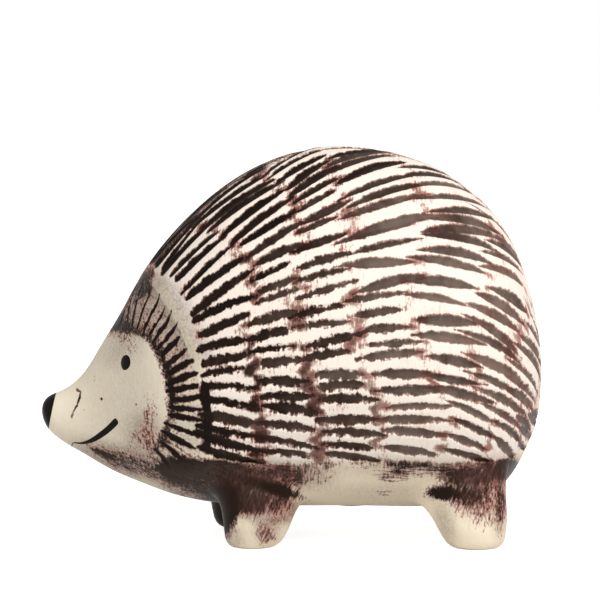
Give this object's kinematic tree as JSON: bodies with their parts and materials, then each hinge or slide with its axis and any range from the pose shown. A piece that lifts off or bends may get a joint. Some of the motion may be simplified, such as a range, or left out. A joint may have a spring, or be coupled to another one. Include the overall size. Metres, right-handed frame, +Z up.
{
  "type": "hedgehog figurine",
  "caption": "Standing hedgehog figurine in hand-finished stoneware, with a carved quill coat, a pointed snout, inlaid features and stub legs, as an ornament for a shelf.",
  "frame": {"origin": "on the table, under the middle of the figurine's bounding box", "axes": "+Z up, the snout points along -X, the animal's left side faces -Y"},
  "size_m": [0.1602, 0.096, 0.1257],
  "materials": {
    "carved_stoneware": "satin matt, dark oxide slip in cream clay",
    "face_stoneware": "satin matt, cream clay",
    "foot_stoneware": "satin matt, cream clay with a thin brown wash",
    "black_slip": "satin black slip"
  },
  "bodies": {
    "root": {"body_shell": "carved_stoneware", "head_shell": "face_stoneware", "leg_front_left": "foot_stoneware", "leg_front_right": "foot_stoneware", "leg_hind_left": "foot_stoneware", "leg_hind_right": "foot_stoneware", "nose_tip": "black_slip", "eye_left": "black_slip", "eye_right": "black_slip", "smile_inlay": "black_slip"}
  },
  "joints": []
}
